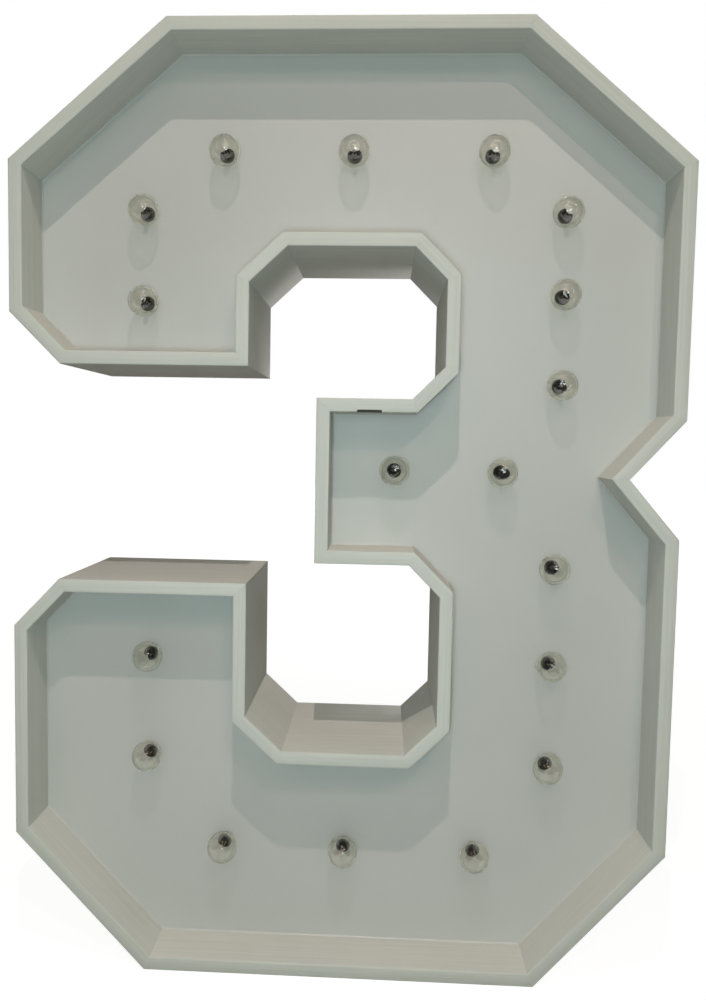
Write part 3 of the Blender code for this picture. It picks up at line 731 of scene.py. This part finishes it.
def model_globe():
    """One clear globe with its neck and a thick flat tip, the mouth of the socket at the origin."""
    deselect()
    bpy.ops.mesh.primitive_uv_sphere_add(
        segments=40,
        ring_count=26,
        radius=globe_radius,
        location=(0, globe_middle, 0),
        rotation=(quarter_turn, 0, 0),
    )
    globe = new_piece("globe")
    open_piece(globe)
    draw_neck(globe)
    choose(globe, "faces", lambda face: in_tip(face.calc_center_median(), tip_radius))
    bpy.ops.mesh.inset(thickness=tip_step, depth=0)
    bpy.ops.transform.translate(value=(0, tip_flat, 0))
    face_outwards()
    close_piece()
    thicken(globe, glass_wall, -1)
    middle = Vector((0, globe_middle, 0))

    def inside_tip(vert):
        return in_tip(vert.co, inner_tip_radius) and (vert.co - middle).length < inside_wall

    def inside_neck(vert):
        return vert.co.y > neck_thinning_start and from_axis(vert.co) < inner_neck_radius

    open_piece(globe)
    choose(globe, "verts", inside_tip)
    bpy.ops.transform.translate(value=(0, tip_build_up, 0))
    choose(globe, "verts", inside_neck)
    bpy.ops.transform.resize(value=(neck_thinning, 1, neck_thinning), center_override=(0, 0, 0))
    close_piece()
    smooth(globe, 60)
    from_tip = globe.data.attributes.new("from_tip", "FLOAT_VECTOR", "POINT")
    for vertex, value in zip(globe.data.vertices, from_tip.data):
        share = from_axis(vertex.co) / globe_radius if vertex.co.y < globe_middle else 1.0
        value.vector = (share, share, share)
    return globe


def model_stem():
    """The dark stem in the foot of a lamp."""
    stem = turned_piece("stem", stem_profile, 16)
    smooth(stem, 60)
    return stem


def model_cap():
    """The screw cap, drawn out as a run of rounded rings with its contact at the end."""
    rings = [(cap_waist, 0.0045)]
    for turn in range(thread_turns):
        place = thread_start + turn * thread_pitch
        rings += [(cap_waist, place), (neck_radius, place + thread_pitch / 3)]
        rings += [(cap_waist, place + thread_pitch * 2 / 3)]
    cap = turned_piece("cap", [*rings, *contact_profile], 24)
    smooth(cap, 50)
    return cap


def model_socket_mouth():
    """The round moulded lip of a socket, which covers the edge of its hole in the panel."""
    lip = turned_ring("socket_mouth", lip_profile, 40)
    smooth(lip, 50)
    return lip


def model_filaments():
    """Two coated sticks that stand on either side of the stem."""
    sticks = turned_piece("filament", stick_profile, 8)
    smooth(sticks, 60)
    open_piece(sticks)
    bpy.ops.mesh.select_all(action="SELECT")
    bpy.ops.transform.translate(value=(stick_spread, 0, 0))
    bpy.ops.mesh.duplicate_move(TRANSFORM_OT_translate={"value": (-2 * stick_spread, 0, 0)})
    close_piece()
    return sticks


def add_lamps(glass, cap_metal, stem_coat, stick_coat, socket_black):
    """Every lamp and the lip of its socket, copied from one of each."""
    models = {
        "globe": (model_globe(), glass, "lamp_glass"),
        "lamp_cap": (model_cap(), cap_metal, "lamp_cap"),
        "lamp_stem": (model_stem(), stem_coat, "lamp_stem"),
        "lamp_filament": (model_filaments(), stick_coat, "lamp_filament"),
        "socket_mouth": (model_socket_mouth(), socket_black, "black_moulding"),
    }
    for number in lamp_names:
        low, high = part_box("bulb_" + number)
        mouth = Vector(((low.x + high.x) / 2, panel_front - socket_proud, (low.z + high.z) / 2))
        for kind, (model, material, slot) in models.items():
            piece = copy_piece(model, f"{kind}_{number}", mouth)
            set_piece(piece, material)
            if kind == "globe":
                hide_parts("bulb_" + number)
    for model, material, slot in models.values():
        remove_piece(model)


# Filler along the panel


def on_panel(point):
    """Whether a point in front of the number has the lamp panel behind it."""
    start = Vector((point.x, number_front - panel_probe_start, point.z))
    return nodes["lamp_panel"].ray_cast(start, Vector((0, 1, 0)))[0]


def inner_edge(name):
    """The two ends of the front edge of a board that faces the lamp panel."""
    direction = board_direction(nodes[name])
    across = Vector((-direction.z, 0, direction.x))
    front = front_points(nodes[name])
    sides = [point.dot(across) for point in front]
    for side, outwards in ((max(sides), across), (min(sides), -across)):
        row = [point for point in front if abs(point.dot(across) - side) < 2 * same_place]
        row.sort(key=lambda point: point.dot(direction))
        if on_panel((row[0] + row[-1]) / 2 + outwards * panel_probe_side):
            return row[0].copy(), row[-1].copy()


def opening_corners():
    """The corners of the opening in front of the lamp panel, in order round the number."""
    edges = [inner_edge(name) for name in board_names]
    corners = list(edges.pop())
    while len(edges) > 1:
        last = corners[-1]
        nearest = min(edges, key=lambda edge: min((end - last).length for end in edge))
        edges.remove(nearest)
        start, end = nearest
        corners.append(end if (start - last).length < (end - last).length else start)
    return corners


def add_filler(material):
    """A thin bead of painted filler in the corner between the lamp panel and the boards."""
    corners = opening_corners()
    deselect()
    bpy.ops.mesh.primitive_circle_add(
        vertices=len(corners), radius=1, fill_type="NGON", rotation=(quarter_turn, 0, 0)
    )
    bead = new_piece("panel_filler")
    for vertex, corner in zip(bead.data.vertices, corners):
        vertex.co = Vector((corner.x, panel_front, corner.z))
    open_piece(bead)
    face_outwards()
    bpy.ops.mesh.inset(thickness=filler_width, depth=0, use_even_offset=True, use_boundary=True)
    bpy.ops.mesh.delete(type="ONLY_FACE")
    outline = {front_place(corner) for corner in corners}
    choose(bead, "verts", lambda vert: front_place(vert.co) in outline)
    bpy.ops.transform.translate(value=(0, -filler_width, 0))
    close_piece()
    thicken(bead, filler_thickness, 0)
    set_piece(bead, material)


# Screws


def model_screw():
    """A pan head screw with a cross in it, its seat at the origin and its head towards +y."""
    radius, height = screw_head_radius, screw_head_height
    seat = [(radius * 0.50, -screw_seat_depth), (radius * 0.97, 0), (radius, screw_edge)]
    dome = [(radius * across, height * up) for across, up in screw_dome_shares]
    screw = turned_piece("screw", seat + dome, 28)
    for turn in (0, quarter_turn):
        deselect()
        bpy.ops.mesh.primitive_cube_add(size=1, location=(0, height, 0), rotation=(0, turn, 0))
        bar = bpy.context.object
        bar.scale = (cross_length, 2 * cross_depth, cross_width)
        settle(bar)
        cut_away(screw, bar)
    smooth(screw, 32)
    return screw


def hole_places(name):
    """The middles of the small round holes in a sheet, from the rings of points round them."""
    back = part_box(name)[1].y
    points = [vertex.co for vertex in nodes[name].data.vertices]
    left = sorted({front_place(point) for point in points if abs(point.y - back) < same_place})
    places = []
    while left:
        ring = [point for point in left if math.dist(point, left[0]) < hole_reach]
        left = [point for point in left if point not in ring]
        if len(ring) == hole_points:
            places.append([sum(values) / hole_points for values in zip(*ring)])
    return places


def add_screws(material):
    """The screws of the rear cover and of the inlet plate, each turned its own way."""
    low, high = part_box("inlet_plate")
    model = model_screw()
    for number, (x, z) in enumerate(hole_places("rear_cover")):
        in_plate = low.x < x < high.x and low.z < z < high.z
        kind = "plate_screw" if in_plate else "cover_screw"
        seat = plate_back if in_plate else cover_back
        screw = copy_piece(model, f"{kind}_{number + 1:02d}", (0, 0, 0))
        screw.rotation_euler.y = math.radians(number * screw_turn)
        screw.location = (x, seat, z)
        settle(screw)
        set_piece(screw, material)
    remove_piece(model)


# Inlet


def sharp_at_back(edge, back):
    at_back = all(abs(vert.co.y - back) < same_place for vert in edge.verts)
    return at_back and edge.is_convex and edge.calc_face_angle(0) > sharp_angle


def add_plate(material):
    """The brushed plate that carries the inlet, with rounded corners and a softened edge."""
    plate = copy_of_node("inlet_plate", "steel_plate")
    low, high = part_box("inlet_plate")

    def corner_edge(edge):
        start, end = (vert.co for vert in edge.verts)
        upright = math.dist((start.x, start.z), (end.x, end.z)) < same_place
        at_side = min(abs(start.x - low.x), abs(start.x - high.x)) < same_place
        at_end = min(abs(start.z - low.z), abs(start.z - high.z)) < same_place
        return upright and at_side and at_end

    open_piece(plate)
    soften(plate, corner_edge, plate_corner, 6)
    soften(plate, lambda edge: sharp_at_back(edge, high.y), plate_edge, 2)
    close_piece()
    smooth(plate, 35)
    set_piece(plate, material)
    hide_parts("inlet_plate")


def pin_ends(inlet, pin_back):
    """The left, right, lower and upper edges of the end of each pin in the inlet."""
    ends = []
    for face in inlet.data.polygons:
        if face.normal.y > facing_back and abs(face.center.y - pin_back) < 2 * same_place:
            points = [inlet.data.vertices[index].co for index in face.vertices]
            across = [point.x for point in points]
            up = [point.z for point in points]
            ends.append((min(across), max(across), min(up), max(up)))
    return sorted(ends)


def add_inlet(black, metal_finish):
    """The moulded inlet with its edges softened, and its three metal pins as pieces of their own."""
    inlet = copy_of_node("inlet", "inlet_moulding")
    pin_back = inlet_back - pin_below_face
    ends = pin_ends(inlet, pin_back)

    def in_pin(face):
        middle = face.calc_center_median()
        for left, right, bottom, top in ends:
            across = left - same_place < middle.x < right + same_place
            up = bottom - same_place < middle.z < top + same_place
            if across and up:
                return middle.y > recess_floor + pin_foot
        return False

    open_piece(inlet)
    choose(inlet, "faces", in_pin)
    bpy.ops.mesh.delete(type="FACE")
    choose(inlet, "edges", open_edge)
    bpy.ops.mesh.edge_face_add()
    soften(inlet, lambda edge: sharp_at_back(edge, inlet_back), moulding_edge, 3)
    close_piece()
    smooth(inlet, 35)
    set_piece(inlet, black)
    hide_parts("inlet")
    root = recess_floor - pin_root
    for number, (left, right, bottom, top) in enumerate(ends):
        deselect()
        middle = ((left + right) / 2, (root + pin_back) / 2, (bottom + top) / 2)
        size = (right - left, pin_back - root, top - bottom)
        bpy.ops.mesh.primitive_cube_add(size=1, location=middle, scale=size)
        pin = new_piece(f"inlet_pin_{number + 1}")
        open_piece(pin)
        soften(pin, lambda edge: sharp_at_back(edge, pin_back), small_edge, 2)
        close_piece()
        smooth(pin, 35)
        set_piece(pin, metal_finish)


def add_softened(name, new_name, material, body, angle):
    """A copy of a moulded node with the edges softened that are sharper than an angle in radians."""
    piece = copy_of_node(name, new_name)
    open_piece(piece)
    soften(piece, lambda edge: edge.is_convex and edge.calc_face_angle(0) > angle, small_edge, 2, clamp=True)
    close_piece()
    smooth(piece, 35)
    set_piece(piece, material, body)
    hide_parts(name)
    return piece


def model_rocker_marks():
    """The on mark, a bar, and the off mark, a ring."""
    deselect()
    bpy.ops.mesh.primitive_cube_add(size=1, scale=(mark_width, mark_thickness, mark_height))
    bar = new_piece("rocker_mark_on")
    open_piece(bar)
    soften(bar, any_edge, mark_thickness / 3, 1)
    close_piece()
    outer = mark_height / 2
    inner = outer - mark_width
    face = mark_thickness / 2
    rings = [(outer, -face), (outer, face), (inner, face), (inner, -face)]
    return bar, turned_ring("rocker_mark_off", rings, 28)


def add_rocker_marks(rocker, material):
    """The on and off marks printed on the two halves of the rocker."""
    low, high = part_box("switch_rocker")
    middle = (low + high) / 2
    for mark, side in zip(model_rocker_marks(), (-1, 1)):
        start = Vector((middle.x + side * mark_off_centre, mark_probe_start, middle.z))
        place, normal = rocker.ray_cast(start, Vector((0, -1, 0)))[1:3]
        turn = normal.to_track_quat("Y", "Z").to_matrix().to_4x4()
        mark.matrix_world = Matrix.Translation(place) @ turn
        settle(mark)
        set_piece(mark, material, "rocker")


def add_fuse(glass, metal_finish):
    """The fuse in the drawer: a glass tube, a metal cap at each end and the wire inside."""
    low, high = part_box("fuse")
    radius = (high.y - low.y) / 2
    length = high.x - low.x
    half_tube = [(radius * across, length * along) for across, along in fuse_tube_shares]
    tube_rings = [(across, -along) for across, along in half_tube] + half_tube[::-1]
    wire_end = length * fuse_wire_share
    tube = turned_piece("fuse_glass", tube_rings, 24)
    wire_rings = [(fuse_wire_radius, -wire_end), (fuse_wire_radius, wire_end)]
    wire = turned_piece("fuse_wire", wire_rings, 8)
    pieces = [(tube, glass), (wire, metal_finish)]
    for name, side in (("fuse_cap_left", -1), ("fuse_cap_right", 1)):
        end = side * length / 2
        inner = side * (length / 2 - fuse_cap_length)
        rings = [
            (radius * 0.93, inner),
            (radius, inner + side * fuse_cap_lip),
            (radius, end - side * fuse_cap_rounding),
            (radius * 0.88, end),
        ]
        pieces.append((turned_piece(name, rings, 24), metal_finish))
    for piece, material in pieces:
        smooth(piece, 40)
        piece.rotation_euler = (0, 0, -quarter_turn)
        piece.location = (low + high) / 2
        settle(piece)
        set_piece(piece, material, "drawer")
    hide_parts("fuse")


# The room, its lamps and the camera


def white_where_seen(tree):
    """A value that is one for camera, glossy and transmission rays."""
    path = tree.nodes.new("ShaderNodeLightPath")
    seen = path.outputs["Is Camera Ray"]
    for ray in ("Is Glossy Ray", "Is Transmission Ray"):
        larger = tree.nodes.new("ShaderNodeMath")
        larger.operation = "MAXIMUM"
        tree.links.new(seen, larger.inputs[0])
        tree.links.new(path.outputs[ray], larger.inputs[1])
        seen = larger.outputs["Value"]
    return seen


def add_floor():
    """A pale floor that runs into the white room where it is seen, and keeps the shadow of the number."""
    shaded, pale, bright = (0.26, 0.25, 0.22), (0.27, 0.26, 0.23), (0.28, 0.27, 0.24)
    deselect()
    bpy.ops.mesh.primitive_plane_add(size=floor_size, location=(0, 0, floor_level))
    floor = new_piece("floor")
    finish = Finish("floor_paint", pale, 0.8)
    place = finish.place()
    grain = finish.noise(place, 3.0)
    finish.surface("Base Color", finish.ramp(grain, (0.3, shaded), (0.7, bright)))
    finish.surface("Specular IOR Level", paint_gloss)
    away = finish.node("ShaderNodeVectorMath")
    away.operation = "LENGTH"
    finish.set(away, 0, place)
    distance = finish.calculate(away.outputs["Value"], floor_fade, "DIVIDE")
    glow = finish.add("ShaderNodeEmission", color=finish.ramp(distance, (0.15, 0.91), (1.0, 1.0)))
    finish.set(glow, "Strength", white_where_seen(finish.tree))
    join = finish.node("ShaderNodeAddShader")
    finish.set(join, 0, finish.shader.outputs["BSDF"])
    finish.set(join, 1, glow.outputs["Emission"])
    finish.set(finish.tree.nodes["Material Output"], "Surface", join.outputs["Shader"])
    floor.data.materials.append(finish.material)


def add_dark_room():
    """A dark round wall in front of the number, seen only in its glass and gloss."""
    deselect()
    bpy.ops.mesh.primitive_uv_sphere_add(
        segments=32, ring_count=16, radius=wall_radius, location=(0, 0, wall_middle)
    )
    wall = new_piece("dark_room")
    open_piece(wall)
    choose(wall, "verts", lambda vert: vert.co.y > wall_edge)
    bpy.ops.mesh.delete(type="VERT")
    choose(wall, "verts", lambda vert: vert.co.z < wall_foot_reach)
    bpy.ops.transform.resize(value=(1, 1, 0), center_override=(0, 0, wall_foot))
    close_piece()
    finish = Finish("dark_wall", (0.05, 0.05, 0.055), 0.9)
    finish.surface("Emission Color", (0.80, 0.92, 1.0, 1.0))
    finish.surface("Emission Strength", wall_glow)
    wall.data.materials.append(finish.material)
    for ray in ("camera", "diffuse", "volume_scatter", "shadow"):
        setattr(wall, "visible_" + ray, False)


def add_world():
    """White where the camera, glass or metal sees it, and a soft cool light on everything else."""
    world = bpy.data.worlds.new("room")
    bpy.context.scene.world = world
    world.use_nodes = True
    tree = world.node_tree
    soft = tree.nodes["Background"]
    soft.inputs["Color"].default_value = (0.80, 1.0, 0.88, 1.0)
    soft.inputs["Strength"].default_value = room_light
    white = tree.nodes.new("ShaderNodeBackground")
    white.inputs["Color"].default_value = (1.0, 1.0, 1.0, 1.0)
    white.inputs["Strength"].default_value = 1.0
    join = tree.nodes.new("ShaderNodeMixShader")
    tree.links.new(white_where_seen(tree), join.inputs[0])
    tree.links.new(soft.outputs["Background"], join.inputs[1])
    tree.links.new(white.outputs["Background"], join.inputs[2])
    tree.links.new(join.outputs["Shader"], tree.nodes["World Output"].inputs["Surface"])


def add_room_lamp(name, place, aim, size, colour, power, spread=180, in_glass=True, on_matt=True):
    """A flat round or oval lamp that points at a place, and may be kept out of glass or off matt paint."""
    deselect()
    bpy.ops.object.light_add(type="AREA", location=place)
    lamp = bpy.context.object
    lamp.name = name
    lamp.rotation_euler = (Vector(aim) - Vector(place)).to_track_quat("-Z", "Y").to_euler()
    lamp.data.shape = "ELLIPSE"
    lamp.data.size, lamp.data.size_y = size
    lamp.data.spread = math.radians(spread)
    lamp.data.color = colour
    lamp.data.energy = power
    lamp.visible_camera = False
    lamp.visible_glossy = in_glass
    lamp.visible_transmission = in_glass
    lamp.visible_diffuse = on_matt


def add_ceiling_lamp(name, place, colour, power, spread):
    """A small ceiling lamp that shines straight down and draws the clear shadows of the boards."""
    add_room_lamp(name, place, (place[0], place[1], 0), ceiling_lamp_size, colour, power, spread)


def add_camera():
    """The photograph's place: right of the middle, a little above half height and tilted slightly down."""
    deselect()
    bpy.ops.object.camera_add(location=camera_place)
    camera = bpy.context.object
    camera.rotation_euler = tuple(math.radians(angle) for angle in camera_turn)
    camera.data.sensor_fit = "HORIZONTAL"
    camera.data.sensor_width = sensor_width
    camera.data.lens = camera_lens
    camera.data.shift_x, camera.data.shift_y = camera_shift
    bpy.context.scene.camera = camera


# The number

boards = board_paint()
panel = panel_paint()
cover = cover_paint()
black = moulding("black_moulding", (0.010, 0.010, 0.010), 0.5, 0.3)
socket_black = moulding("socket_moulding", (0.006, 0.006, 0.006), 0.5, 0.12)
for number, name in enumerate(board_names):
    add_board(name, number, boards)
paint(nodes["lamp_panel"], panel)
paint(nodes["rear_cover"], cover)
add_lamps(
    clear_glass(),
    metal("lamp_cap", (0.72, 0.66, 0.52), 0.32),
    moulding("lamp_stem", (0.010, 0.011, 0.008), 0.3, 0.1),
    moulding("lamp_filament", (0.30, 0.25, 0.11), 0.45, 0.5),
    socket_black,
)
paint(nodes["lamp_harness_upper"], socket_black)
paint(nodes["lamp_harness_lower"], socket_black)
paint(nodes["terminal_cover"], black)
add_filler(panel)
add_screws(metal("screw_steel", (0.60, 0.60, 0.57), 0.30))
add_plate(metal("plate_steel", (0.58, 0.58, 0.56), 0.34, brushed_scale))
plated = metal("fuse_metal", (0.70, 0.69, 0.66), 0.22)
add_inlet(black, plated)
smooth_black = moulding("rocker_plastic", (0.016, 0.016, 0.016), 0.28, 0.5)
rocker = add_softened("switch_rocker", "rocker_cap", smooth_black, "rocker", 0.7)
add_rocker_marks(rocker, moulding("rocker_mark", (0.62, 0.62, 0.58), 0.5, 0.5))
add_softened("fuse_drawer", "drawer_front", black, "drawer", 0.9)
add_fuse(moulding("fuse_glass", (0.75, 0.78, 0.76), 0.05, 0.5), plated)

# The room

add_floor()
add_dark_room()
add_world()
add_ceiling_lamp("ceiling_lamp_near", (0.025, -1.052, 2.455), (1.0, 0.86, 0.80), 9.4, 120)
add_ceiling_lamp("ceiling_lamp_right", (0.725, -2.148, 2.364), (1.0, 0.74, 0.62), 12.2, 165)
add_ceiling_lamp("ceiling_lamp_left", (-1.706, -2.46, 2.35), (1.0, 0.65, 0.65), 9.0, 150)
add_ceiling_lamp("ceiling_lamp_far", (-1.193, -3.15, 2.293), (1.0, 0.82, 0.71), 5.7, 170)
add_room_lamp(
    "soft_near",
    place=(0.0, -1.15, 0.62),
    aim=(0, 0, 0.62),
    size=(0.2, 0.2),
    colour=(0.74, 0.92, 1.0),
    power=4.1,
    in_glass=False,
)
add_room_lamp(
    "soft_high",
    place=(0.0, -2.2, 2.0),
    aim=(0, 0, 0.6),
    size=(1.2, 0.6),
    colour=(1.0, 0.84, 0.74),
    power=4.0,
)
add_room_lamp(
    "soft_far",
    place=(0.0, -4.0, 1.0),
    aim=(0, 0, 0.6),
    size=(2.0, 1.5),
    colour=(0.69, 1.0, 0.93),
    power=19.0,
    in_glass=False,
)
add_room_lamp(
    "soft_back",
    place=(0.4, 10.0, 1.1),
    aim=(0, 0, 0.65),
    size=(1.2, 0.8),
    colour=(1.0, 0.97, 0.92),
    power=205,
)
add_room_lamp(
    "window_glint",
    place=(0.5, -4.0, 1.38),
    aim=(0, 0, 0.75),
    size=(1.2, 1.0),
    colour=(0.92, 0.98, 1.0),
    power=20,
    on_matt=False,
)
add_camera()
bpy.context.scene.view_settings.view_transform = "Standard"
